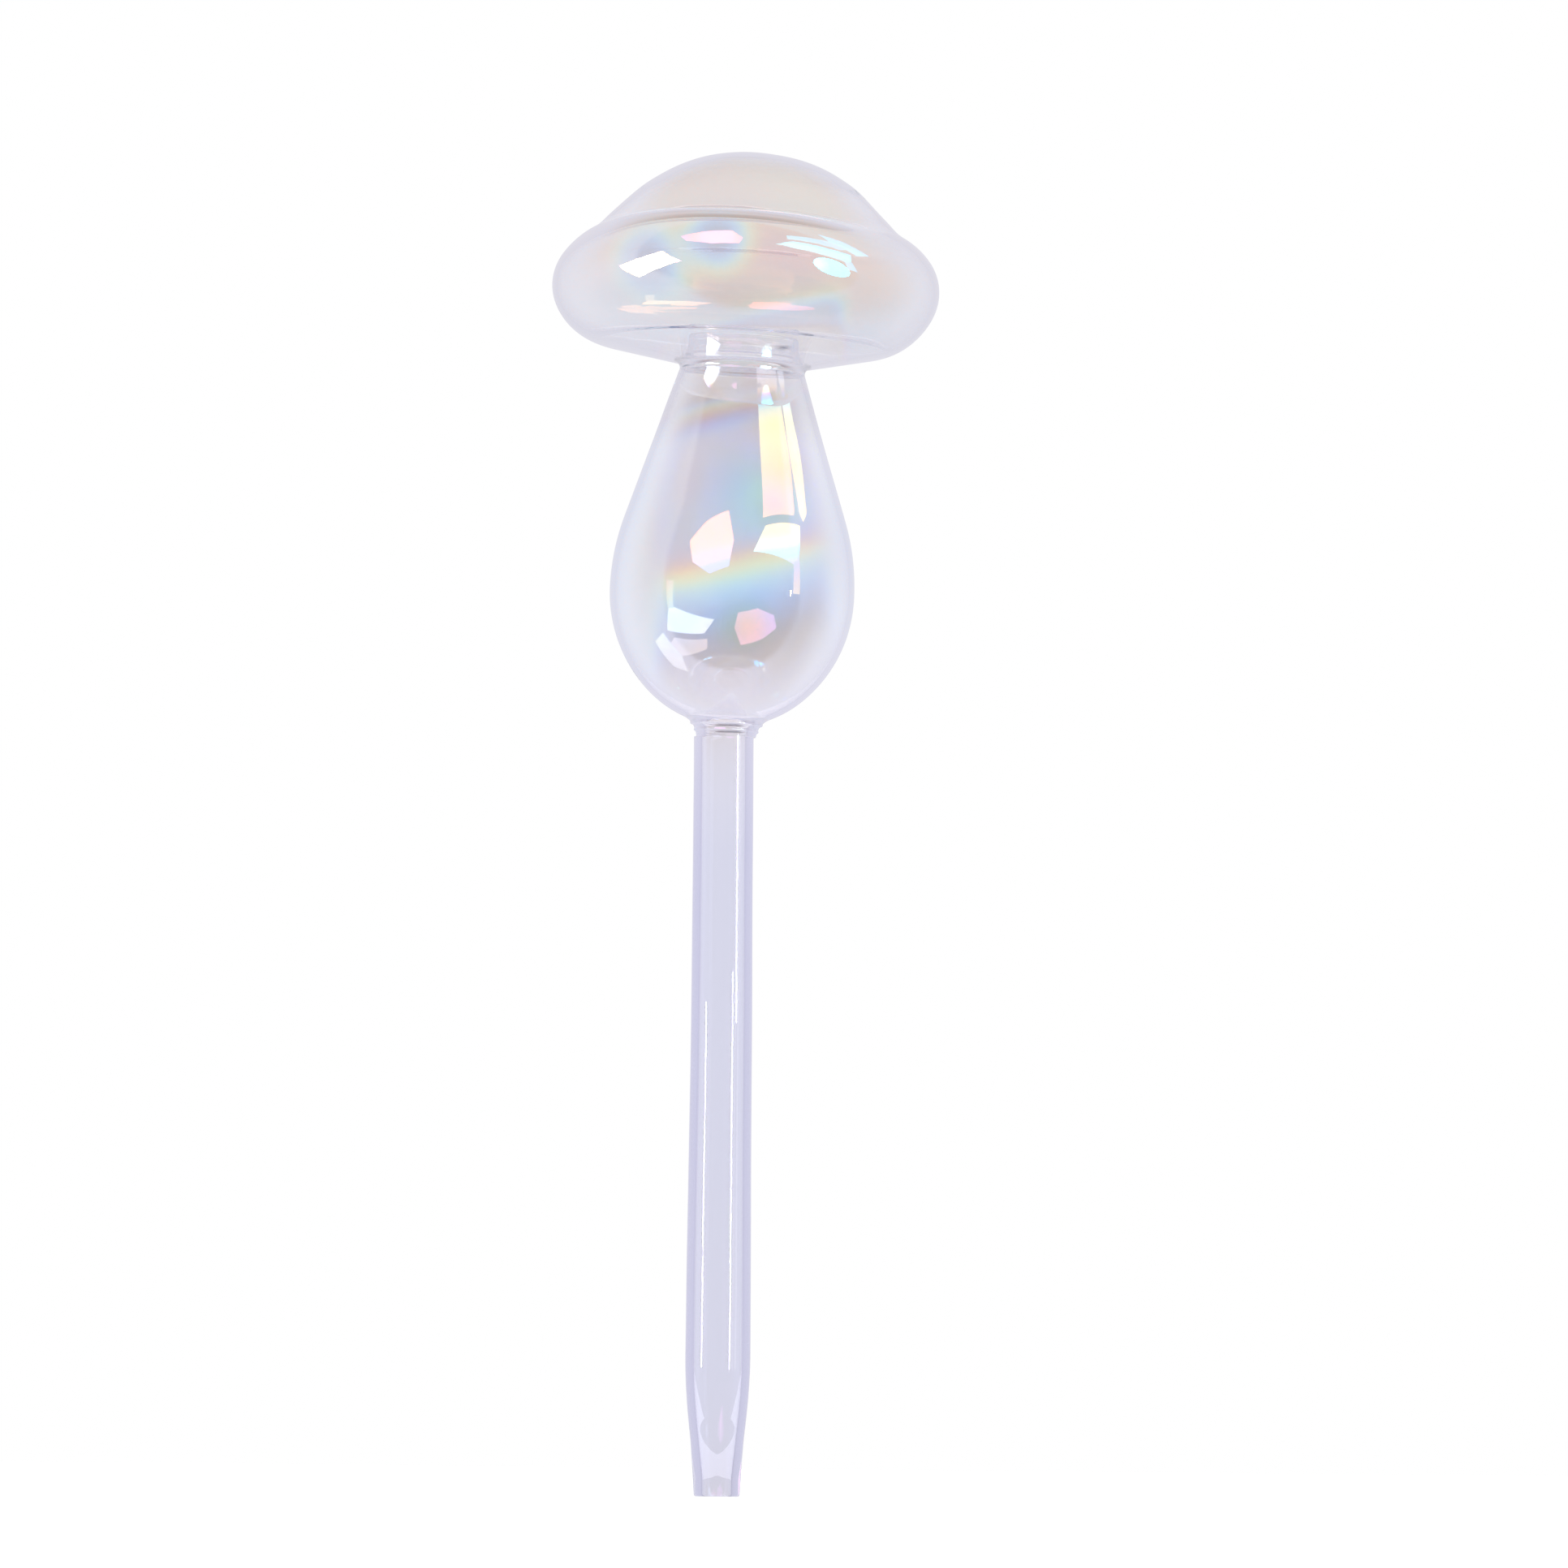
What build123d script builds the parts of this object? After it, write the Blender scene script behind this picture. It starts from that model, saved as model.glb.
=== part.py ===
from build123d import *
from math import acos, cos, degrees, radians, sin, sqrt, tan
import os

# A hand-blown glass watering globe in the form of a mushroom: a hollow cap, a pear-shaped
# bulb, and a long tube that is pushed into the soil. Five pieces of glass, each round about
# an axis, are welded end to end in the flame: the tube, the weld at the bulb's base, the
# bulb, the weld at the cap's neck, and the cap. Bulb and cap lean a little from the tube.
#
# The origin is the centre of the tube's mouth. +Z runs up the tube, the body leans towards
# +X, and the front is -Y.

os.makedirs("parts", exist_ok=True)

# Tube, which is drawn down to a narrow mouth
stem_length = 140.8
stem_radius = 5.8
stem_wall = 1.5
taper_length = 22.0
mouth_radius = 4.25
mouth_bore_radius = 2.7
mouth_land_length = 3.5
mouth_rounding = 0.4

# Weld between the tube and the bulb
base_weld_height = 3.68
base_weld_radius = 8.2
base_weld_bore_radius = 3.9
base_weld_lip_radius = 3.0
weld_ripple_radius = 0.35
weld_ripple_shares = (0.26, 0.56)

# Bulb. Its heights run along the leaning axis, from the top of the tube
lean_angle = 1.9
bulb_wall = 1.0
belly_radius = 22.7
belly_side_radius = 26.7
base_round_angle = 46.4
shoulder_radius = 46.2
neck_angle = 18.1
neck_radius = 11.3

# Collar, the end of the bulb's neck that stands up inside the cap
collar_radius = 10.2
collar_height = 5.3
collar_bend_radius = 4.0

# Weld between the neck and the cap's underside
neck_weld_leg = 1.3

# Cap
cap_wall = 1.0
cap_radius = 36.1
underside_angle = 11.9
brim_under_radius = 11.6
brim_under_angle = 21.6
brim_nose_radius = 9.3
brim_top_radius = 19.3
brim_top_angle = 36.3
brim_end_angle = 58.8
crease_radius = 4.0
crease_angle = 19.0
dome_side_radius = 44.5
crown_angle = 22.8

# Plane and axis of the leaning body: x is the radius there and y the height
lean_side = sin(radians(lean_angle))
lean_rise = cos(radians(lean_angle))
body_foot = (0, 0, stem_length)
body_plane = Plane(body_foot, x_dir=(lean_rise, 0, -lean_side), z_dir=(0, -1, 0))
body_axis = Axis(body_foot, (lean_side, 0, lean_rise))

neck_slope = tan(radians(neck_angle))
underside_slope = tan(radians(underside_angle))


def point_at(centre, radius, angle):
    """The point at a distance and an angle, in degrees, from a centre."""
    turn = radians(angle)
    return centre[0] + radius * cos(turn), centre[1] + radius * sin(turn)


# The bulb's base is part of a ball on the axis, and its side is an arc up to the belly
side_arc_reach = belly_radius - belly_side_radius
ball_radius = belly_side_radius + side_arc_reach / cos(radians(base_round_angle))
ball_centre = (0, base_weld_height + sqrt(ball_radius**2 - base_weld_radius**2))
side_arc_centre = point_at(ball_centre, ball_radius - belly_side_radius, -base_round_angle)
belly_height = side_arc_centre[1]


def base_height(inset):
    """The height of the round base at the weld's radius."""
    return ball_centre[1] - sqrt((ball_radius - inset) ** 2 - base_weld_radius**2)


def base_slope(inset):
    """The rise of the round base for each step outwards, at the weld's radius."""
    return base_weld_radius / (ball_centre[1] - base_height(inset))


# The shoulder's arc ends where the straight neck starts
shoulder_centre = (belly_radius - shoulder_radius, belly_height)


def neck_start(inset):
    return point_at(shoulder_centre, shoulder_radius - inset, neck_angle)


def neck_height_at(radius, inset):
    """The height at which the straight neck has this radius."""
    start_radius, start_height = neck_start(inset)
    return start_height + (start_radius - radius) / neck_slope


# The outside of the neck meets the underside of the cap here
neck_height = neck_height_at(neck_radius, 0)
collar_top = neck_height + collar_height
cap_hole_radius = neck_radius + neck_weld_leg * cos(radians(underside_angle))


def underside_height(radius, inset):
    """The height of the cap's underside, or of its floor inside, at this radius."""
    rise = (radius - neck_radius) * underside_slope
    return neck_height + rise + inset / cos(radians(underside_angle))


# Centres of the cap's arcs, from the underside round the brim to the crown
nose_centre_radius = cap_radius - brim_nose_radius
under_centre_radius = point_at(
    (nose_centre_radius, 0), brim_nose_radius - brim_under_radius, -brim_under_angle
)[0]
under_centre = (under_centre_radius, underside_height(under_centre_radius, brim_under_radius))
nose_centre = point_at(under_centre, brim_under_radius - brim_nose_radius, -brim_under_angle)
top_centre = point_at(nose_centre, brim_nose_radius - brim_top_radius, brim_top_angle)

# The crease is an arc outside the glass, between the brim's arc and the dome's arc
dome_angle = brim_end_angle - crease_angle
crease_centre = point_at(top_centre, brim_top_radius + crease_radius, brim_end_angle)
side_centre = point_at(crease_centre, -crease_radius - dome_side_radius, dome_angle)

# The crown is part of a ball on the axis
crown_start = 90 - crown_angle
crown_radius = dome_side_radius + side_centre[0] / cos(radians(crown_start))
crown_centre = point_at(side_centre, dome_side_radius - crown_radius, crown_start)
crown_top = crown_centre[1] + crown_radius


def bulb_line(inset):
    """The bulb's surface, or the surface at a distance inside it, as edges."""
    foot_angle = -degrees(acos(base_weld_radius / (ball_radius - inset)))
    CenterArc(ball_centre, ball_radius - inset, foot_angle, -base_round_angle - foot_angle)
    CenterArc(side_arc_centre, belly_side_radius - inset, -base_round_angle, base_round_angle)
    CenterArc(shoulder_centre, shoulder_radius - inset, 0, neck_angle)
    rim_radius = collar_radius - inset
    FilletPolyline(
        neck_start(inset),
        (rim_radius, neck_height_at(rim_radius, inset)),
        (rim_radius, collar_top - bulb_wall / 2),
        radius=collar_bend_radius + inset,
    )


def cap_line(inset):
    """The cap's surface, or the surface at a distance inside it, as edges."""
    hole_edge = (cap_hole_radius, underside_height(cap_hole_radius, inset))
    under = brim_under_radius - inset
    nose = brim_nose_radius - inset
    top = brim_top_radius - inset
    crease = crease_radius + inset
    side = dome_side_radius - inset
    crown = crown_radius - inset
    under_start = underside_angle - 90
    nose_start = -brim_under_angle
    Line(hole_edge, point_at(under_centre, under, under_start))
    CenterArc(under_centre, under, under_start, nose_start - under_start)
    CenterArc(nose_centre, nose, nose_start, brim_top_angle - nose_start)
    CenterArc(top_centre, top, brim_top_angle, brim_end_angle - brim_top_angle)
    CenterArc(crease_centre, crease, 180 + brim_end_angle, -crease_angle)
    CenterArc(side_centre, side, dome_angle, crown_start - dome_angle)
    CenterArc((0, crown_centre[1]), crown, crown_start, crown_angle)


# Tube
stem_bore_radius = stem_radius - stem_wall
with BuildPart() as stem_tube:
    with BuildSketch(Plane.XZ):
        with BuildLine():
            Polyline(
                (mouth_bore_radius, 0),
                (mouth_radius, 0),
                (stem_radius, taper_length),
                (stem_radius, stem_length),
                (stem_bore_radius, stem_length),
                (stem_bore_radius, taper_length),
                (mouth_bore_radius, mouth_land_length),
                close=True,
            )
        make_face()
    revolve(axis=Axis.Z)
    fillet(stem_tube.edges().group_by(Axis.Z)[0], mouth_rounding)

# Weld at the bulb's base. Its ripples run round the outside
with BuildPart() as stem_seal_ring:
    with BuildSketch(body_plane):
        with BuildLine():
            outside = TangentArc(
                (base_weld_radius, base_height(0)),
                (stem_radius, 0),
                tangent=(-1, -base_slope(0)),
            )
            Line((base_weld_radius, base_height(0)), (base_weld_radius, base_height(bulb_wall)))
            bore_corner_height = base_height(bulb_wall) - base_slope(bulb_wall) * (
                base_weld_radius - base_weld_bore_radius
            )
            FilletPolyline(
                (base_weld_radius, base_height(bulb_wall)),
                (base_weld_bore_radius, bore_corner_height),
                (base_weld_bore_radius, 0),
                radius=base_weld_lip_radius,
            )
            Line((base_weld_bore_radius, 0), (stem_radius, 0))
        make_face()
        for share in weld_ripple_shares:
            with Locations(outside @ (1 - share)):
                Circle(weld_ripple_radius)
    revolve(axis=body_axis)
    split(bisect_by=Plane.XY.offset(stem_length), keep=Keep.TOP)

# Bulb
with BuildPart() as bulb_shell:
    with BuildSketch(body_plane):
        with BuildLine():
            bulb_line(0)
            bulb_line(bulb_wall)
            Line((base_weld_radius, base_height(0)), (base_weld_radius, base_height(bulb_wall)))
            CenterArc(
                (collar_radius - bulb_wall / 2, collar_top - bulb_wall / 2), bulb_wall / 2, 0, 180
            )
        make_face()
    revolve(axis=body_axis)

# Weld at the neck, with a fillet outside and another inside the cap
neck_up = (-sin(radians(neck_angle)), cos(radians(neck_angle)))
floor_corner_height = underside_height(neck_radius, cap_wall)
floor_corner_radius = neck_radius - (floor_corner_height - neck_height) / (
    1 / neck_slope + underside_slope
)
floor_corner = (floor_corner_radius, neck_height_at(floor_corner_radius, 0))
inner_leg = (cap_hole_radius - floor_corner_radius) / cos(radians(underside_angle))
weld_foot = (neck_radius - neck_weld_leg * neck_up[0], neck_height - neck_weld_leg * neck_up[1])
weld_head = (floor_corner[0] + inner_leg * neck_up[0], floor_corner[1] + inner_leg * neck_up[1])
hole_low = (cap_hole_radius, underside_height(cap_hole_radius, 0))
hole_high = (cap_hole_radius, underside_height(cap_hole_radius, cap_wall))
with BuildPart() as neck_seal_ring:
    with BuildSketch(body_plane):
        with BuildLine():
            TangentArc(weld_foot, hole_low, tangent=neck_up)
            Line(hole_low, hole_high)
            TangentArc(weld_head, hole_high, tangent=(-neck_up[0], -neck_up[1]))
            Line(weld_head, weld_foot)
        make_face()
    revolve(axis=body_axis)

# Cap
with BuildPart() as cap_shell:
    with BuildSketch(body_plane):
        with BuildLine():
            cap_line(0)
            cap_line(cap_wall)
            Line(hole_low, hole_high)
            Line((0, crown_top), (0, crown_top - cap_wall))
        make_face()
    revolve(axis=body_axis)

for name, piece in (
    ("stem_tube", stem_tube),
    ("stem_seal_ring", stem_seal_ring),
    ("bulb_shell", bulb_shell),
    ("neck_seal_ring", neck_seal_ring),
    ("cap_shell", cap_shell),
):
    piece.part.label = name
    export_step(piece.part, f"parts/{name}.step")
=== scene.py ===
import math

import bpy
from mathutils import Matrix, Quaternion, Vector


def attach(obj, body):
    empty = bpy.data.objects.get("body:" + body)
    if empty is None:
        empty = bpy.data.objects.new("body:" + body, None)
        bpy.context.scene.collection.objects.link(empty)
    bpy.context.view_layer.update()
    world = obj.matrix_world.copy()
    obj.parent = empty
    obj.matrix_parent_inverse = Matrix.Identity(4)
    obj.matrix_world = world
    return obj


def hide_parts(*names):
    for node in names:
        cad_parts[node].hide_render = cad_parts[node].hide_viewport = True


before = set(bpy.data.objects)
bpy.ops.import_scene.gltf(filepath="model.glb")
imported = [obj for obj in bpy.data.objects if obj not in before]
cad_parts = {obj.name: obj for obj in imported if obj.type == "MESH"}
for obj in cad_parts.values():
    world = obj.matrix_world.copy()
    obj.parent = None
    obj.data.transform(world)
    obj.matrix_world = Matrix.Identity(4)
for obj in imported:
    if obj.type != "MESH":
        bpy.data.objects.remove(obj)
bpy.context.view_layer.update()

mm = 0.001  # every size below is in millimetres

# The tube stands upright on its mouth. Bulb and cap lean a little from the tube's top
body = {
    "foot": 140.8,  # height of the tube's top
    "lean": 1.9,  # degrees towards +X
    "turns": 240,  # steps round each piece
    "mergeReach": 0.004,  # points nearer than this become one
    "cutReach": 0.01,  # points this near a level cut lie on it
    "smoothAngle": 40,
}


def bodyAxis():
    lean = math.radians(body["lean"])
    return Vector((math.sin(lean), 0, math.cos(lean)))


# Outlines are lists of (radius, height) points in the plane through the axis


def arcPoints(centre, radius, start, end, step=3.0):
    count = max(2, math.ceil(abs(end - start) / step))
    angles = [math.radians(start + (end - start) * i / count) for i in range(count + 1)]
    return [(centre[0] + radius * math.cos(a), centre[1] + radius * math.sin(a)) for a in angles]


def tangentArc(first, direction, last, step=8.0):
    # the arc that leaves the first point in this direction and ends at the last
    side = Vector((-direction[1], direction[0])).normalized()
    span = Vector(last) - Vector(first)
    radius = span.length_squared / (2 * span.dot(side))
    centre = Vector(first) + side * radius
    start = math.degrees(math.atan2(first[1] - centre.y, first[0] - centre.x))
    end = math.degrees(math.atan2(last[1] - centre.y, last[0] - centre.x))
    turn = (end - start) % 360 if radius > 0 else -((start - end) % 360)
    return arcPoints(centre, abs(radius), start, start + turn, step)


def roundedCorner(before, corner, after, radius, step=8.0):
    back = (Vector(before) - Vector(corner)).normalized()
    ahead = (Vector(after) - Vector(corner)).normalized()
    reach = radius / math.tan(back.angle(ahead) / 2)
    return tangentArc(Vector(corner) + back * reach, -back, Vector(corner) + ahead * reach, step)


def linePoints(first, last, count, bow=0.0):
    # a line, with its middle pushed out by the bow
    along = Vector(last) - Vector(first)
    out = Vector((along.y, -along.x)).normalized()
    shares = [i / count for i in range(count + 1)]
    points = [Vector(first) + along * s + out * bow * math.sin(math.pi * s) for s in shares]
    return [(p.x, p.y) for p in points]


def joined(*parts):
    # one outline from several, without the repeated ends
    apart = 1e-4
    line = []
    for part in parts:
        for point in part:
            if not line or (Vector(point) - Vector(line[-1])).length > apart:
                line.append(tuple(point))
    return line


def freshSelection():
    if bpy.context.object and bpy.context.object.mode != "OBJECT":
        bpy.ops.object.mode_set(mode="OBJECT")
    bpy.ops.object.select_all(action="DESELECT")


def selectOnly(piece):
    freshSelection()
    piece.select_set(True)
    bpy.context.view_layer.objects.active = piece


def spinLine(points, finish, leaning):
    # draws an outline by extruding one vertex along it, and spins it about the axis
    axis = bodyAxis() if leaning else Vector((0, 0, 1))
    across = Vector((axis.z, 0, -axis.x))
    foot = Vector((0, 0, body["foot"] if leaning else 0))
    places = [(foot + across * r + axis * h) * mm for r, h in points]
    freshSelection()
    bpy.ops.mesh.primitive_plane_add(size=mm, location=(0, 0, 0))
    bpy.ops.object.mode_set(mode="EDIT")
    bpy.ops.mesh.select_mode(type="VERT")
    bpy.ops.mesh.merge(type="CENTER")
    bpy.ops.transform.translate(value=places[0])
    for here, there in zip(places, places[1:]):
        bpy.ops.mesh.extrude_region_move(TRANSFORM_OT_translate={"value": there - here})
    bpy.ops.mesh.select_all(action="SELECT")
    bpy.ops.mesh.spin(
        steps=body["turns"], angle=2 * math.pi, center=foot * mm, axis=axis, use_auto_merge=True
    )
    bpy.ops.object.mode_set(mode="OBJECT")
    sheet = bpy.context.object
    sheet.data.materials.append(finish)
    return sheet


def closeShell(name, sheets):
    # joins the spun sheets into one closed shell with its faces outwards
    freshSelection()
    for sheet in sheets:
        sheet.select_set(True)
    bpy.context.view_layer.objects.active = sheets[0]
    bpy.ops.object.join()
    shell = bpy.context.object
    bpy.ops.object.mode_set(mode="EDIT")
    bpy.ops.mesh.select_all(action="SELECT")
    bpy.ops.mesh.remove_doubles(threshold=body["mergeReach"] * mm)
    bpy.ops.mesh.normals_make_consistent(inside=False)
    bpy.ops.object.mode_set(mode="OBJECT")
    shell.name = shell.data.name = name
    return shell


# Glass

coat = {
    "index": 1.47,
    "filmIndex": 2.3,
    "roughness": 0.0,
    # film thickness in nanometres against height above the tube's mouth in millimetres
    "film": [
        (0, 21), (139, 21), (146, 36), (152, 45), (156, 54), (160, 76), (163.5, 94), (167, 112),
        (170.8, 137), (172.6, 160), (174.6, 180), (178, 194), (182.5, 198), (187, 196),
        (192, 196), (197.5, 186), (200.5, 150), (203, 100), (206, 42), (211, 34), (215, 90),
        (219, 146), (236, 150), (252, 150),
    ],
    "filmTop": 400,  # the thickest that the film's curve can give
    "filmLean": -0.235,  # the film's bands slope down to the left
    # the tube is coated evenly, the blown glass above it less so
    "filmUnevenness": 36,
    "cloudScale": 45,
    "cloudDetail": 1.0,
    "cloudRise": (140, 165),
    # places where the film is thicker or thinner: middle, reach in millimetres, nanometres
    "filmPatches": [
        ((9, -17.5, 184), 13, 26),
        ((5, 21, 163), 12, 14),
        ((-2.5, -35.5, 230), 9.5, -84),
        ((-14.6, -30, 225.7), 12, -84),
    ],
    # towards its outline the film evens out: middle across, from and to this far, nanometres
    "filmSides": (3.5, 13, 20, 150),
    # what the glass lets through at these heights
    "tints": [
        (0, (0.765, 0.77, 0.92)), (120, (0.775, 0.785, 0.94)), (146, (0.87, 0.86, 0.975)),
        (160, (0.90, 0.92, 1.0)), (185, (0.88, 0.91, 1.0)), (194, (0.90, 0.92, 1.0)),
        (202, (0.80, 0.785, 0.83)), (212, (0.84, 0.83, 0.87)), (222, (0.87, 0.85, 0.88)),
        (232, (0.90, 0.865, 0.885)), (250, (0.88, 0.86, 0.88)),
    ],
    # places where it lets through less of some colours: middle, reach, colour. Some of them are
    # painted shade and painted reflections, as marked
    "tintAndPaintedLightPatches": [
        ((2.5, -22, 187), 13, (0.62, 0.84, 1.0)),
        ((3, -22, 164), 13, (0.72, 0.92, 1.0)),
        ((8.5, -13.5, 199), 8, (1.0, 0.95, 0.64)),
        ((10.5, -15.5, 190), 8, (1.0, 0.77, 0.68)),
        ((8.5, -19.5, 181.5), 6, (0.92, 0.80, 0.96)),
        # painted reflection: yellows the window's mirrored image seen on the bulb's back wall
        ((3.4, -21.6, 160), 7.5, (1.0, 1.0, 0.50)),
        ((5, -22, 177), 9, (0.78, 1.0, 1.0)),
        # painted reflection: a warm streak on the neck's left
        ((-3.6, -12.6, 204), 5, (1.0, 0.88, 0.72)),
        # painted shade: a small dark curl on the neck's right
        ((9.9, -18.5, 211.7), 2.2, (0.10, 0.10, 0.14)),
        # painted shade: the cap's right side made greyer
        ((22, -22, 216), 26, (0.93, 0.93, 0.935)),
        ((1, -30, 217), 12, (0.91, 0.89, 0.90)),
        # painted shade: the bulb's right side made greyer
        ((18, -14, 175), 15, (0.93, 0.91, 0.95)),
    ],
    # painted shade: dark lines painted on the front of the base weld's two ripples
    "rippleHeights": (141.5, 142.7),
    "rippleThickness": 0.42,
    "rippleMiddle": 0.4,
    "rippleSides": (3.2, 1.6),
    "rippleFront": (-2, -5),
    "rippleShadeColour": (0.16, 0.16, 0.20),
    "height": 252,  # the top of the film's and the tint's scale
    # fine rings round the cap, from turning it in the flame: noise across and up, depth
    "ringScale": (40, 600),
    "ringDepth": 0.09,
    "ringStrength": 0.2,
    "ringDetail": 2.0,
    "ringRise": (206, 216),
}
clear = {"tint": (0.985, 0.985, 0.99), "index": 1.47, "roughness": 0.0}


def addNode(tree, kind, **settings):
    node = tree.nodes.new(kind)
    for key, value in settings.items():
        setattr(node, key, value)
    return node


def emptyMaterial(name):
    material = bpy.data.materials.new(name)
    material.use_nodes = True
    material.node_tree.nodes.clear()
    return material, material.node_tree, addNode(material.node_tree, "ShaderNodeOutputMaterial")


def mathNode(tree, operation, *values):
    node = addNode(tree, "ShaderNodeMath", operation=operation)
    for socket, value in zip(node.inputs, values):
        if isinstance(value, (int, float)):
            socket.default_value = value
        else:
            tree.links.new(value, socket)
    return node.outputs[0]


def smoothStep(tree, value, low, high):
    # nothing at the low value and one at the high one
    node = addNode(tree, "ShaderNodeMapRange", interpolation_type="SMOOTHSTEP")
    tree.links.new(value, node.inputs["Value"])
    node.inputs["From Min"].default_value = low
    node.inputs["From Max"].default_value = high
    return node.outputs["Result"]


def blendColour(tree, share, first, second):
    node = addNode(tree, "ShaderNodeMix", data_type="RGBA")
    sockets = node.inputs["Factor"], node.inputs[6], node.inputs[7]
    for socket, value in zip(sockets, (share, first, second)):
        if isinstance(value, tuple):
            socket.default_value = (*value, 1)
        else:
            tree.links.new(value, socket)
    return node.outputs[2]


def patchShare(tree, place, middle, reach):
    # one at the patch's middle, fading to nothing at its edge
    away = addNode(tree, "ShaderNodeVectorMath", operation="DISTANCE")
    tree.links.new(place, away.inputs[0])
    away.inputs[1].default_value = [c * mm for c in middle]
    return smoothStep(tree, away.outputs["Value"], reach * mm, 0.0)


def offFrom(tree, value, middle):
    return mathNode(tree, "ABSOLUTE", mathNode(tree, "SUBTRACT", value, middle * mm))


def noise(tree, place, scale, detail):
    node = addNode(tree, "ShaderNodeTexNoise")
    node.inputs["Scale"].default_value = scale
    node.inputs["Detail"].default_value = detail
    tree.links.new(place, node.inputs["Vector"])
    return node.outputs[0]


def pearlFilm(tree, place, across, height, level):
    # thickness in nanometres, along the height and then at the sides and in the patches
    lean = mathNode(tree, "MULTIPLY", across, coat["filmLean"] / (coat["height"] * mm))
    curve = addNode(tree, "ShaderNodeFloatCurve")
    line = curve.mapping.curves[0]
    stops = [(z / coat["height"], nm / coat["filmTop"]) for z, nm in coat["film"]]
    line.points[0].location = stops[0]
    line.points[1].location = stops[-1]
    for stop in stops[1:-1]:
        line.points.new(*stop)
    curve.mapping.update()
    tree.links.new(mathNode(tree, "ADD", level, lean), curve.inputs["Value"])
    film = mathNode(tree, "MULTIPLY", curve.outputs[0], coat["filmTop"])
    low, high = coat["cloudRise"]
    cloud = noise(tree, place, coat["cloudScale"], coat["cloudDetail"])
    uneven = mathNode(tree, "SUBTRACT", cloud, 0.5)
    uneven = mathNode(tree, "MULTIPLY", uneven, smoothStep(tree, height, low * mm, high * mm))
    film = mathNode(tree, "MULTIPLY_ADD", uneven, coat["filmUnevenness"], film)
    middle, near, far, sideFilm = coat["filmSides"]
    sideShare = smoothStep(tree, offFrom(tree, across, middle), near * mm, far * mm)
    change = mathNode(tree, "SUBTRACT", sideFilm, film)
    film = mathNode(tree, "MULTIPLY_ADD", sideShare, change, film)
    for middle, reach, change in coat["filmPatches"]:
        share = patchShare(tree, place, middle, reach)
        film = mathNode(tree, "MULTIPLY_ADD", share, change, film)
    return film


def fineRings(tree, place, height):
    wide, fine = coat["ringScale"]
    low, high = coat["ringRise"]
    stretch = addNode(tree, "ShaderNodeMapping")
    stretch.inputs["Scale"].default_value = (wide, wide, fine)
    tree.links.new(place, stretch.inputs["Vector"])
    rings = noise(tree, stretch.outputs[0], 1.0, coat["ringDetail"])
    rings = mathNode(tree, "MULTIPLY", rings, smoothStep(tree, height, low * mm, high * mm))
    bump = addNode(tree, "ShaderNodeBump")
    bump.inputs["Strength"].default_value = coat["ringStrength"]
    bump.inputs["Distance"].default_value = coat["ringDepth"] * mm
    tree.links.new(rings, bump.inputs["Height"])
    return bump.outputs[0]


def glassTintAndPaintedLight(tree, place, level):
    tints = addNode(tree, "ShaderNodeValToRGB")
    band = tints.color_ramp.elements
    for index, (z, colour) in enumerate(coat["tints"]):
        stop = band[index] if index < 2 else band.new(1.0)
        stop.position = z / coat["height"]
        stop.color = (*colour, 1)
    tree.links.new(level, tints.inputs["Fac"])
    tint = tints.outputs["Color"]
    # the patches hold the glass's own tints and also painted shade and painted reflections
    for middle, reach, colour in coat["tintAndPaintedLightPatches"]:
        share = patchShare(tree, place, middle, reach)
        patch = blendColour(tree, share, (1.0, 1.0, 1.0), colour)
        product = addNode(tree, "ShaderNodeVectorMath", operation="MULTIPLY")
        tree.links.new(tint, product.inputs[0])
        tree.links.new(patch, product.inputs[1])
        tint = product.outputs[0]
    return tint


def paintedRippleShade(tree, tint, across, depth, height):
    # paints shade as dark lines at the ripples' heights, on their front and near the middle across
    outer, inner = coat["rippleSides"]
    back, front = coat["rippleFront"]
    off = offFrom(tree, across, coat["rippleMiddle"])
    sideShare = smoothStep(tree, off, outer * mm, inner * mm)
    frontShare = smoothStep(tree, depth, back * mm, front * mm)
    short = mathNode(tree, "MULTIPLY", sideShare, frontShare)
    for z in coat["rippleHeights"]:
        line = smoothStep(tree, offFrom(tree, height, z), coat["rippleThickness"] * mm, 0.0)
        share = mathNode(tree, "MULTIPLY", short, line)
        tint = blendColour(tree, share, tint, coat["rippleShadeColour"])
    return tint


def glassShader(tree, finish):
    glass = addNode(tree, "ShaderNodeBsdfPrincipled")
    glass.inputs["Transmission Weight"].default_value = 1.0
    glass.inputs["Roughness"].default_value = finish["roughness"]
    glass.inputs["IOR"].default_value = finish["index"]
    return glass


def coatedGlass():
    material, tree, output = emptyMaterial("pearlCoatedGlass")
    place = addNode(tree, "ShaderNodeTexCoord").outputs["Object"]
    split = addNode(tree, "ShaderNodeSeparateXYZ")
    tree.links.new(place, split.inputs[0])
    across, depth, height = split.outputs
    level = mathNode(tree, "DIVIDE", height, coat["height"] * mm)
    film = pearlFilm(tree, place, across, height, level)
    # the colour the glass lets through, with painted shade and painted reflections in it
    tint = paintedRippleShade(tree, glassTintAndPaintedLight(tree, place, level), across, depth, height)
    glass = glassShader(tree, coat)
    glass.inputs["Thin Film IOR"].default_value = coat["filmIndex"]
    tree.links.new(film, glass.inputs["Thin Film Thickness"])
    tree.links.new(fineRings(tree, place, height), glass.inputs["Normal"])
    tree.links.new(tint, glass.inputs["Base Color"])
    tree.links.new(glass.outputs[0], output.inputs["Surface"])
    return material


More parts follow.
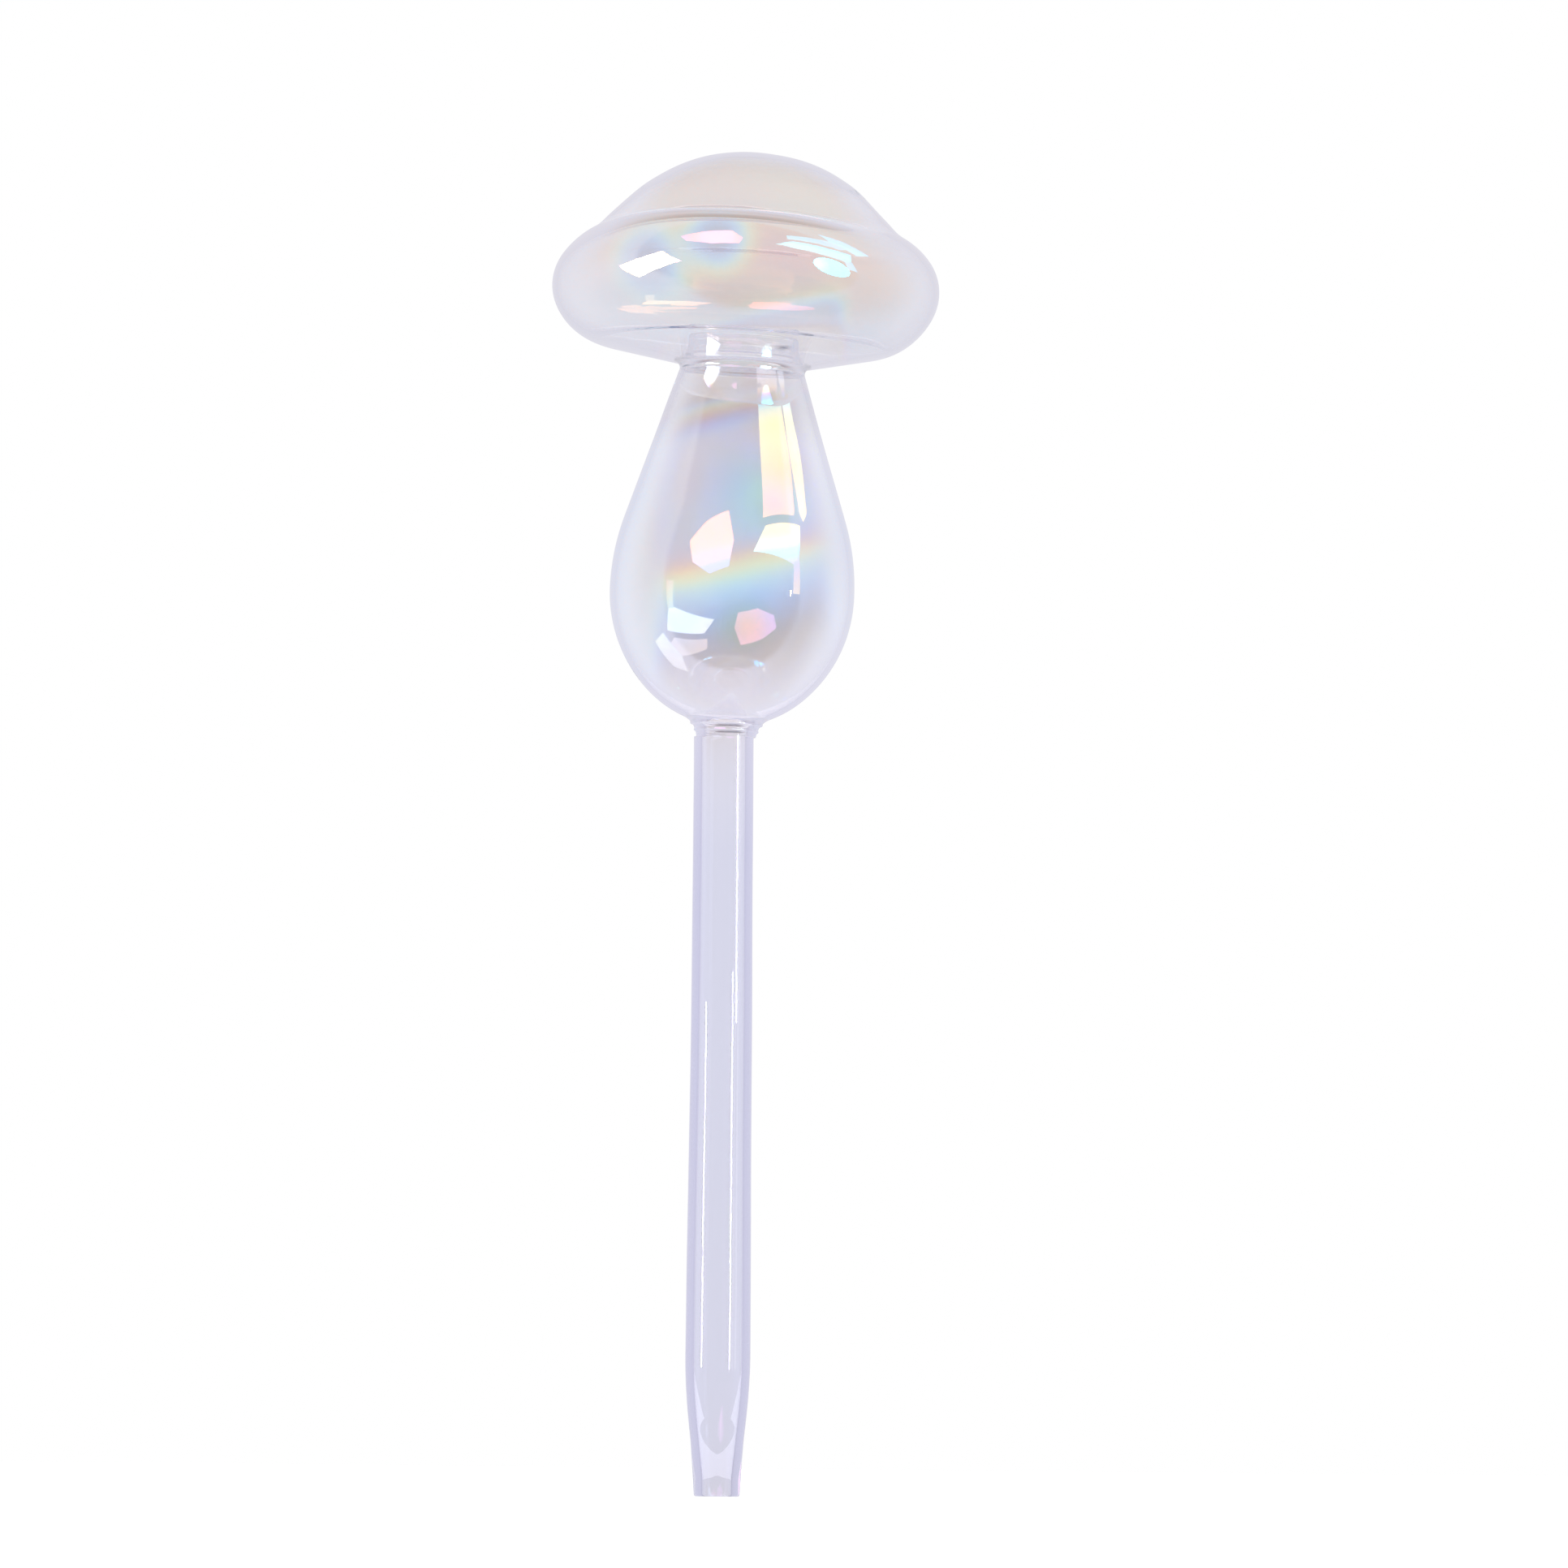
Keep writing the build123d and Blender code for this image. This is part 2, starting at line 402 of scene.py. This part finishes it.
def clearGlass():
    material, tree, output = emptyMaterial("clearGlassInside")
    glass = glassShader(tree, clear)
    glass.inputs["Base Color"].default_value = (*clear["tint"], 1)
    tree.links.new(glass.outputs[0], output.inputs["Surface"])
    return material


def meltedJoint():
    # where two pieces are fused the glass runs on, so the faces between them don't show
    material, tree, output = emptyMaterial("fusedJoint")
    through = addNode(tree, "ShaderNodeBsdfTransparent")
    tree.links.new(through.outputs[0], output.inputs["Surface"])
    return material


coated = coatedGlass()
inside = clearGlass()
fused = meltedJoint()
print("glass mixed")

# Tube

tube = {
    "outline": [
        (5.89, 21), (6.03, 24.5), (5.99, 30), (5.95, 42), (5.88, 52), (5.81, 62), (5.73, 76),
        (5.66, 90), (5.6, 106), (5.56, 122), (5.55, 134), (5.6, 140.8),
    ],
    "taper": [(4.28, 0.4), (4.44, 3), (4.64, 6.6), (4.93, 10.5), (5.34, 14), (5.68, 17.6)],
    "wall": 1.5,
    "mouthBore": 2.7,
    "mouthLand": 3.5,
    "mouthRounding": 0.4,
    "boreFrom": 14,  # height from which the bore follows the outside
    "tipShift": -0.4,  # the drawn tip runs a little to the left
    "tipHeight": 2,  # what is below this is moved, and what is near follows
    "tipReach": 24,
}


def smoothLine(points, rounds=2):
    # cuts each corner at its quarters, which rounds a hand-set outline
    for _ in range(rounds):
        line = [points[0]]
        for here, there in zip(points, points[1:]):
            a, b = Vector(here), Vector(there)
            line += [tuple(a.lerp(b, 0.25)), tuple(a.lerp(b, 0.75))]
        points = line + [points[-1]]
    return points


def makeTube():
    outside = smoothLine(tube["taper"] + tube["outline"])
    rounding = tube["mouthRounding"]
    edgeOut, edgeIn = outside[0][0], tube["mouthBore"]
    mouth = joined(
        arcPoints((edgeIn + rounding, rounding), rounding, 180, 270, 18),
        arcPoints((edgeOut - rounding, rounding), rounding, 270, 360, 18),
    )
    bore = [(r - tube["wall"], h) for r, h in outside if h > tube["boreFrom"]]
    bore = joined([(edgeIn, rounding), (edgeIn, tube["mouthLand"])], bore)
    topOut, topIn = outside[-1], bore[-1]
    sheets = [
        spinLine(joined(mouth[-1:], outside), coated, False),
        spinLine(mouth, coated, False),
        spinLine(bore, inside, False),
        spinLine([topIn, topOut], fused, False),
    ]
    piece = closeShell("glassTube", sheets)
    # the tip is nudged sideways with soft falloff
    selectOnly(piece)
    for vertex in piece.data.vertices:
        vertex.select = vertex.co.z < tube["tipHeight"] * mm
    bpy.ops.object.mode_set(mode="EDIT")
    bpy.ops.mesh.select_mode(type="VERT")
    bpy.ops.transform.translate(
        value=(tube["tipShift"] * mm, 0, 0),
        use_proportional_edit=True,
        proportional_edit_falloff="SMOOTH",
        proportional_size=tube["tipReach"] * mm,
    )
    bpy.ops.object.mode_set(mode="OBJECT")
    return piece


# Bulb. Heights from here on run along the leaning axis, from the tube's top

bulb = {
    "wall": 1.0,
    "ballCentre": (0, 22.904),
    "ballRadius": 20.9,
    "roundAngle": -46.4,
    "sideCentre": (-4.0, 27.104),
    "sideRadius": 26.7,
    "shoulderCentre": (-23.5, 27.104),
    "shoulderRadius": 46.2,
    "neckAngle": 18.1,
    "neckBow": 0.12,
    "collarRadius": 10.2,
    "collarTop": 74.641,
    "collarBend": 4.0,
}


def baseHeight(inset):
    reach = bulb["ballRadius"] - inset
    return bulb["ballCentre"][1] - math.sqrt(reach**2 - baseWeld["outerRadius"] ** 2)


def bulbLines(inset):
    # base to neck, then the bend into the collar
    ballRadius = bulb["ballRadius"] - inset
    sideRadius = bulb["sideRadius"] - inset
    shoulderRadius = bulb["shoulderRadius"] - inset
    footAngle = -math.degrees(math.acos(baseWeld["outerRadius"] / ballRadius))
    tilt = math.radians(bulb["neckAngle"])
    start = arcPoints(bulb["shoulderCentre"], shoulderRadius, 0, bulb["neckAngle"], 1.2)
    rim = bulb["collarRadius"] - inset
    neckEnd = (rim, start[-1][1] + (start[-1][0] - rim) / math.tan(tilt))
    collar = roundedCorner(
        start[-1], neckEnd, (rim, bulb["collarTop"]), bulb["collarBend"] + inset, 4
    )
    low = joined(
        arcPoints(bulb["ballCentre"], ballRadius, footAngle, bulb["roundAngle"], 2),
        arcPoints(bulb["sideCentre"], sideRadius, bulb["roundAngle"], 0, 2),
        start,
    )
    return low, collar, (rim, bulb["collarTop"] - bulb["wall"] / 2)


def makeBulb():
    outLow, outCollar, outRim = bulbLines(0)
    inLow, inCollar, inRim = bulbLines(bulb["wall"])
    foot, head = neckWeld["foot"], neckWeld["head"]
    neckOut = linePoints(outLow[-1], foot, 20, bulb["neckBow"])
    neckIn = linePoints(inLow[-1], inCollar[0], 20, bulb["neckBow"])
    half = bulb["wall"] / 2
    lip = arcPoints((outRim[0] - half, outRim[1]), half, 0, 180, 15)
    sheets = [
        spinLine(joined(outLow, neckOut), coated, True),
        spinLine([inLow[0], outLow[0]], fused, True),
        spinLine([foot, head], fused, True),
        spinLine(joined([head], outCollar, [outRim], lip, [inRim]), inside, True),
        spinLine(joined(inLow, neckIn, inCollar, [inRim]), inside, True),
    ]
    return closeShell("glassBulb", sheets)


# Weld at the bulb's base

baseWeld = {
    "outerRadius": 8.2,
    "footRadius": 5.6,
    "boreRadius": 3.9,
    "lipRadius": 3.0,
    # the ripples' places as shares of the outline, their width in shares, and their size
    "rippleShares": (0.26, 0.56),
    "rippleWidth": 0.055,
    "rippleOut": 0.224,
    "rippleDown": 0.14,
    "runPast": 0.6,  # the foot runs on below the tube's top, and is then cut level
}


def rippledLine(outside):
    count = len(outside) - 1
    line = []
    for i, (r, h) in enumerate(outside):
        offs = [(1 - i / count - s) / baseWeld["rippleWidth"] for s in baseWeld["rippleShares"]]
        bump = sum(math.exp(-(off**2)) for off in offs)
        line.append((r + baseWeld["rippleOut"] * bump, h - baseWeld["rippleDown"] * bump))
    return line


def makeBaseWeld():
    low, high = baseHeight(0), baseHeight(bulb["wall"])
    radius, foot = baseWeld["outerRadius"], baseWeld["footRadius"]
    boreRadius, deep = baseWeld["boreRadius"], -baseWeld["runPast"]
    slope = radius / (bulb["ballCentre"][1] - low)
    slopeIn = radius / (bulb["ballCentre"][1] - high)
    outside = rippledLine(tangentArc((radius, low), (-1, -slope), (foot, 0), 2.5))
    boreCorner = (boreRadius, high - slopeIn * (radius - boreRadius))
    bore = joined(
        [(radius, high)],
        roundedCorner((radius, high), boreCorner, (boreRadius, 0), baseWeld["lipRadius"]),
        [(boreRadius, deep)],
    )
    sheets = [
        spinLine(joined(outside, [(foot, deep)]), coated, True),
        spinLine(bore, inside, True),
        spinLine([(radius, low), (radius, high)], fused, True),
        spinLine([(foot, deep), (boreRadius, deep)], fused, True),
    ]
    piece = closeShell("baseWeldRing", sheets)
    selectOnly(piece)
    bpy.ops.object.mode_set(mode="EDIT")
    bpy.ops.mesh.select_all(action="SELECT")
    level = body["foot"] * mm
    bpy.ops.mesh.bisect(
        plane_co=(0, 0, level),
        plane_no=(0, 0, 1),
        clear_inner=True,
        use_fill=False,
        threshold=1e-7,
    )
    bpy.ops.mesh.select_all(action="DESELECT")
    bpy.ops.mesh.select_mode(type="EDGE")
    bpy.ops.mesh.select_non_manifold(extend=False, use_boundary=True, use_wire=False)
    bpy.ops.mesh.bridge_edge_loops()
    bpy.ops.object.mode_set(mode="OBJECT")
    # the faces of the cut lie on the tube and are fused with it
    fusedSlot = piece.data.materials.find(fused.name)
    for face in piece.data.polygons:
        heights = [piece.data.vertices[i].co.z for i in face.vertices]
        if all(abs(height - level) < body["cutReach"] * mm for height in heights):
            face.material_index = fusedSlot
    selectOnly(piece)
    bpy.ops.object.mode_set(mode="EDIT")
    bpy.ops.mesh.select_all(action="SELECT")
    bpy.ops.mesh.normals_make_consistent(inside=False)
    bpy.ops.object.mode_set(mode="OBJECT")
    return piece


# Weld between the neck and the cap. Its corners are fused with both

neckWeld = {
    "foot": (11.704, 68.106),
    "head": (10.484, 71.837),
    "holeLow": (12.572, 69.609),
    "holeHigh": (12.572, 70.631),
}


def makeNeckWeld():
    foot, head = neckWeld["foot"], neckWeld["head"]
    low, high = neckWeld["holeLow"], neckWeld["holeHigh"]
    up = (head[0] - foot[0], head[1] - foot[1])
    sheets = [
        spinLine(tangentArc(foot, up, low, 6), coated, True),
        spinLine([low, high], fused, True),
        spinLine(tangentArc(head, (-up[0], -up[1]), high, 6), inside, True),
        spinLine([head, foot], fused, True),
    ]
    return closeShell("neckWeldRing", sheets)


# Cap

cap = {
    "wall": 1.0,
    "hole": (neckWeld["holeLow"], neckWeld["holeHigh"]),
    "underCentre": (24.662, 84.012),
    "underRadius": 11.6,
    "underStart": 11.9 - 90,
    "underEnd": -21.6,
    "noseCentre": (26.8, 83.165),
    "noseRadius": 9.3,
    "topCentre": (18.741, 77.245),
    "topRadius": 19.3,
    "topStart": 36.3,
    "topEnd": 56.79,
    "creaseCentre": (34.791, 101.758),
    "creaseRadius": 10.0,
    "creaseAngle": 15.96,
    "sideCentre": (-6.451, 66.130),
    "sideRadius": 44.5,
    "sideEnd": 67.2,
    "crownCentre": (0, 81.476),
    "crownRadius": 27.853,
    # the brim was formed by hand: lifts of its edge, each towards an azimuth, in millimetres
    "lifts": [(-12, 80, 4.8), (180, 80, 3.0), (90, 60, 0.9)],
    "liftFrom": 25.0,  # radius at which a lift starts
    "liftTo": 35.0,
    # the crown's shoulders are a little fuller than a ball's, the right one most
    "swells": [(90, 110, 0.95), (-90, 110, 0.5)],
    "swellsAbove": 225,  # height above the tube's mouth
    "swellRise": (3, 16),
    "swellFall": (19, 25),
    "fullPush": 10,  # what a vertex weight of one would lift
}


def capLine(inset):
    under, nose, top, side, crown = (
        cap[name] - inset
        for name in ("underRadius", "noseRadius", "topRadius", "sideRadius", "crownRadius")
    )
    crease = cap["creaseRadius"] + inset  # the only hollow arc
    creaseStart = 180 + cap["topEnd"]
    sideStart = cap["topEnd"] - cap["creaseAngle"]
    return joined(
        [cap["hole"][0] if inset == 0 else cap["hole"][1]],
        arcPoints(cap["underCentre"], under, cap["underStart"], cap["underEnd"], 3),
        arcPoints(cap["noseCentre"], nose, cap["underEnd"], cap["topStart"], 4),
        arcPoints(cap["topCentre"], top, cap["topStart"], cap["topEnd"], 2),
        arcPoints(
            cap["creaseCentre"], crease, creaseStart, creaseStart - cap["creaseAngle"], 4
        ),
        arcPoints(cap["sideCentre"], side, sideStart, cap["sideEnd"], 1.5),
        arcPoints(cap["crownCentre"], crown, cap["sideEnd"], 90, 2),
    )


def makeCap():
    sheets = [
        spinLine(capLine(0), coated, True),
        spinLine(capLine(cap["wall"]), inside, True),
        spinLine(cap["hole"], fused, True),
    ]
    piece = closeShell("mushroomCap", sheets)
    liftBrim(piece)
    return piece


def easeBetween(value, low, high):
    share = min(max((value - low) / (high - low), 0.0), 1.0)
    return share * share * (3 - 2 * share)


def pushTowards(turn, pushes):
    # the sum of the pushes at this azimuth, each fading out over its spread
    total = 0.0
    for middle, spread, height in pushes:
        off = abs((turn - middle + 180) % 360 - 180) / spread
        if off < 1:
            total += height * (1 + math.cos(math.pi * off)) / 2
    return total


def liftBrim(piece):
    group = piece.vertex_groups.new(name="brimLift")
    axis = bodyAxis()
    foot = Vector((0, 0, body["foot"] * mm))
    for vertex in piece.data.vertices:
        away = vertex.co - foot
        away -= axis * away.dot(axis)
        reach = away.length / mm
        turn = math.degrees(math.atan2(away.x, -away.y))
        lift = pushTowards(turn, cap["lifts"]) * easeBetween(reach, cap["liftFrom"], cap["liftTo"])
        if vertex.co.z / mm > cap["swellsAbove"]:
            swell = easeBetween(reach, *cap["swellRise"])
            swell *= 1 - easeBetween(reach, *cap["swellFall"])
            lift += pushTowards(turn, cap["swells"]) * swell
        weight = lift / cap["fullPush"]
        if weight > 0:
            group.add([vertex.index], weight, "REPLACE")
    selectOnly(piece)
    push = piece.modifiers.new("brimLift", "DISPLACE")
    push.direction = "Z"
    push.mid_level = 0.0
    push.strength = cap["fullPush"] * mm
    push.vertex_group = group.name
    bpy.ops.object.modifier_apply(modifier=push.name)


pieces = {
    "stem_tube": (makeTube, "stem_glass"),
    "stem_seal_ring": (makeBaseWeld, "stem_seal_glass"),
    "bulb_shell": (makeBulb, "bulb_glass"),
    "neck_seal_ring": (makeNeckWeld, "neck_seal_glass"),
    "cap_shell": (makeCap, "cap_glass"),
}

# One slow drift pushes all the pieces alike, so hand-blown unevenness never opens a joint

drift = {
    "size": 38,
    "strength": 0.9,
    "tubeShare": 0.2,  # the drawn tube is straighter than what is blown above it
    "from": 118,
    "to": 165,
}


def handDrift():
    texture = bpy.data.textures.new("handDrift", "CLOUDS")
    texture.cloud_type = "COLOR"
    texture.noise_scale = drift["size"] * mm
    texture.noise_depth = 1
    return texture


def pushByDrift(piece, texture):
    selectOnly(piece)
    group = piece.vertex_groups.new(name="drift")
    for vertex in piece.data.vertices:
        blown = easeBetween(vertex.co.z / mm, drift["from"], drift["to"])
        weight = drift["tubeShare"] + (1 - drift["tubeShare"]) * blown
        group.add([vertex.index], weight, "REPLACE")
    push = piece.modifiers.new("drift", "DISPLACE")
    push.vertex_group = group.name
    push.texture = texture
    push.texture_coords = "LOCAL"
    push.direction = "RGB_TO_XYZ"
    push.mid_level = 0.5
    push.strength = drift["strength"] * mm
    bpy.ops.object.modifier_apply(modifier=push.name)


def trianglesAndVolume(mesh):
    mesh.calc_loop_triangles()
    volume = 0
    for triangle in mesh.loop_triangles:
        a, b, c = (mesh.vertices[i].co for i in triangle.vertices)
        volume += a.dot(b.cross(c)) / 6
    return len(mesh.loop_triangles), round(volume / mm**3)


driftTexture = handDrift()
for node, (make, slotName) in pieces.items():
    piece = make()
    pushByDrift(piece, driftTexture)
    bpy.ops.object.shade_smooth_by_angle(angle=math.radians(body["smoothAngle"]))
    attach(piece, "root")
    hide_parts(node)
    triangles, volume = trianglesAndVolume(piece.data)
    print(node, "replaced by", piece.name, triangles, "triangles", volume, "mm3")

# Studio

studio = {
    # the light of the surround, as the glass mirrors it, starts from the lowest tone and
    # blends to each of these: towards this axis, between these shares of it, tone
    "lowTone": (0.52, 0.49, 0.62),
    "tones": [
        ((0, 0, 1), (-0.35, 0.5), (0.36, 0.32, 0.33)),
        ((1, 0, 0), (0.1, 0.9), (0.27, 0.26, 0.30)),
        ((0, 1, 0), (-0.2, 0.7), (0.78, 0.77, 0.84)),
        ((0, 0, 1), (0.5, 0.85), (0.50, 0.44, 0.42)),
    ],
    "room": (0.17, 0.14, 0.14),  # the dark room in front, within this angle of straight ahead
    "roomAngle": 69,
    "roomEdge": 3,
    "inGlass": (0.80, 0.79, 0.86),  # what light that is thrown to and fro in the glass ends in
    # corners of each window as (azimuth to the right, height) in degrees, seen from the
    # object, and its light
    "windows": {
        "left": (
            [
                (-7.5, 40.4), (0, 26), (-3.8, 13.2), (-22.6, 9.5), (-40, 14.8), (-45.3, 24.5),
                (-30.9, 34.5),
            ],
            (3.0, 1.15, 2.0),
        ),
        "rightHigh": ([(34, 43), (76, 43), (82, 36), (69, 31.6), (31, 35.2)], (2.0, 1.5, 1.4)),
        "rightLow": ([(33, 31), (74, 26.3), (66, 9.5), (19.8, 19.5)], (2.9, 2.8, 2.7)),
        "rightSide": ([(70, 43), (80, 27), (95, 30), (92, 46), (78, 55)], (2.1, 1.9, 1.9)),
        "rightTail": ([(61.3, 12), (68, 12), (69, -2.5), (61.3, -2.5)], (1.5, 1.5, 1.5)),
    },
    "windowEdge": 0.004,
    "floorSize": 4000,
    "floorCorners": 96,
    "floorPaint": (0.9, 0.9, 0.9),
    "floorGlow": 0.3,
}


def direction(azimuth, height):
    a, h = math.radians(azimuth), math.radians(height)
    return Vector((math.sin(a) * math.cos(h), -math.cos(a) * math.cos(h), math.sin(h)))


def dotWith(tree, vectorOutput, vector):
    node = addNode(tree, "ShaderNodeVectorMath", operation="DOT_PRODUCT")
    tree.links.new(vectorOutput, node.inputs[0])
    node.inputs[1].default_value = vector
    return node.outputs["Value"]


def windowMask(tree, look, corners):
    # a window is what lies inside the planes through the object and each of its edges
    middle = sum((direction(*c) for c in corners), Vector()).normalized()
    mask = None
    for here, there in zip(corners, corners[1:] + corners[:1]):
        plane = direction(*here).cross(direction(*there)).normalized()
        if plane.dot(middle) < 0:
            plane = -plane
        edge = studio["windowEdge"]
        side = smoothStep(tree, dotWith(tree, look, plane), -edge, edge)
        mask = side if mask is None else mathNode(tree, "MULTIPLY", mask, side)
    return mask


def makeWorld():
    world = bpy.data.worlds.new("studio")
    bpy.context.scene.world = world
    world.use_nodes = True
    tree = world.node_tree
    tree.nodes.clear()
    output = addNode(tree, "ShaderNodeOutputWorld")
    look = addNode(tree, "ShaderNodeTexCoord").outputs["Generated"]
    surround = studio["lowTone"]
    for axis, span, tone in studio["tones"]:
        share = smoothStep(tree, dotWith(tree, look, axis), *span)
        surround = blendColour(tree, share, surround, tone)
    edge = [math.cos(math.radians(studio["roomAngle"] + s * studio["roomEdge"])) for s in (1, -1)]
    roomShare = smoothStep(tree, dotWith(tree, look, (0, -1, 0)), *edge)
    surround = blendColour(tree, roomShare, surround, studio["room"])
    for corners, light in studio["windows"].values():
        surround = blendColour(tree, windowMask(tree, look, corners), surround, light)
    # straight on the backdrop is white, and what the glass mirrors is the surround
    rays = addNode(tree, "ShaderNodeLightPath")
    mirrored = mathNode(tree, "GREATER_THAN", rays.outputs["Glossy Depth"], 0.5)
    again = mathNode(tree, "GREATER_THAN", rays.outputs["Glossy Depth"], 1.5)
    surround = blendColour(tree, again, surround, studio["inGlass"])
    shade = blendColour(tree, mirrored, (1.0, 1.0, 1.0), surround)
    backdrop = addNode(tree, "ShaderNodeBackground")
    tree.links.new(shade, backdrop.inputs["Color"])
    tree.links.new(backdrop.outputs[0], output.inputs["Surface"])


def makeFloor():
    freshSelection()
    bpy.ops.mesh.primitive_circle_add(
        vertices=studio["floorCorners"],
        radius=studio["floorSize"] / 2 * mm,
        fill_type="NGON",
        location=(0, 0, 0),
    )
    floor = bpy.context.object
    floor.name = "paleFloor"
    material, tree, output = emptyMaterial("paleFloorPaint")
    paint = addNode(tree, "ShaderNodeBsdfDiffuse")
    paint.inputs["Color"].default_value = (*studio["floorPaint"], 1)
    glow = addNode(tree, "ShaderNodeEmission")
    glow.inputs["Strength"].default_value = studio["floorGlow"]
    lit = addNode(tree, "ShaderNodeAddShader")
    tree.links.new(paint.outputs[0], lit.inputs[0])
    tree.links.new(glow.outputs[0], lit.inputs[1])
    # the glass doesn't mirror the floor
    rays = addNode(tree, "ShaderNodeLightPath")
    mirrored = mathNode(tree, "GREATER_THAN", rays.outputs["Glossy Depth"], 0.5)
    seen = addNode(tree, "ShaderNodeMixShader")
    through = addNode(tree, "ShaderNodeBsdfTransparent")
    tree.links.new(mirrored, seen.inputs["Fac"])
    tree.links.new(lit.outputs[0], seen.inputs[1])
    tree.links.new(through.outputs[0], seen.inputs[2])
    tree.links.new(seen.outputs[0], output.inputs["Surface"])
    floor.data.materials.append(material)


# Small lamps with grids stand near the glass, so each one lights only what it points at

lamps = {
    # shape, place, what it points at, width and height, turn and spread in degrees, light
    "brimLeft": (
        "RECTANGLE", (-72.7, -60.4, 201.1), (-14.6, -30.1, 225.7), (46, 34), 20, 50, (3.8, 3.2, 3.0)
    ),
    "brimRight": (
        "ELLIPSE", (70.7, -76.6, 216.7), (17.2, -32.2, 225.4), (36, 42), 20, 50, (1.3, 2.1, 2.3)
    ),
    "tubeLeft": (
        "RECTANGLE", (-346, -200, 60), (-4, -3, 54), (9, 96), 0, 14, (1.6, 1.6, 1.7)
    ),
    "tubeRight": (
        "RECTANGLE", (268, -297, 60), (3, -4, 54), (9, 112), 0, 14, (1.6, 1.6, 1.7)
    ),
    "tubeTop": (
        "RECTANGLE", (336, -217, 135), (4, -3, 119), (8, 56), 0, 14, (1.5, 1.5, 1.6)
    ),
}


def makeLamps():
    for name, (shape, place, target, size, turn, spread, light) in lamps.items():
        aim = (Vector(target) - Vector(place)).to_track_quat("-Z", "Y")
        aim = aim @ Quaternion((0, 0, 1), math.radians(turn))
        freshSelection()
        bpy.ops.object.light_add(type="AREA", location=Vector(place) * mm, rotation=aim.to_euler())
        lamp = bpy.context.object
        lamp.name = name
        lamp.data.shape = shape
        lamp.data.size, lamp.data.size_y = size[0] * mm, size[1] * mm
        lamp.data.spread = math.radians(spread)
        lamp.data.color = [c / max(light) for c in light]
        area = size[0] * size[1] * mm * mm * (math.pi / 4 if shape == "ELLIPSE" else 1)
        lamp.data.energy = max(light) * math.pi * area
        lamp.visible_camera = lamp.visible_diffuse = lamp.visible_transmission = False


makeWorld()
makeFloor()
makeLamps()
print("studio lit by", len(lamps), "lamps and", len(studio["windows"]), "windows")

# Camera

view = {
    "middle": (10.79, 132.24),  # what the picture's middle looks at, across and up
    "distance": 1930,
    "eye": 10,
    "frameWidth": 291.4,  # what the picture's width takes in at the tube
    "roll": 0.565,
    "sensor": 36,
    "sight": 20,  # in metres
}
rise = view["middle"][1] - view["eye"]
roll = math.radians(view["roll"])
freshSelection()
bpy.ops.object.camera_add(
    location=(
        (view["middle"][0] + rise * math.sin(roll)) * mm,
        -view["distance"] * mm,
        view["eye"] * mm,
    ),
    rotation=(math.pi / 2 + math.atan2(rise, view["distance"]), -roll, 0),
)
camera = bpy.context.object
camera.data.sensor_width = view["sensor"]
camera.data.lens = view["sensor"] * math.hypot(view["distance"], rise) / view["frameWidth"]
camera.data.clip_end = view["sight"]
bpy.context.scene.camera = camera
bpy.context.scene.view_settings.view_transform = "Standard"

# Light has to pass many walls of glass one behind the other
bounces = 256
for kind in ("max", "transmission", "glossy", "transparent_max"):
    setattr(bpy.context.scene.cycles, kind + "_bounces", bounces)
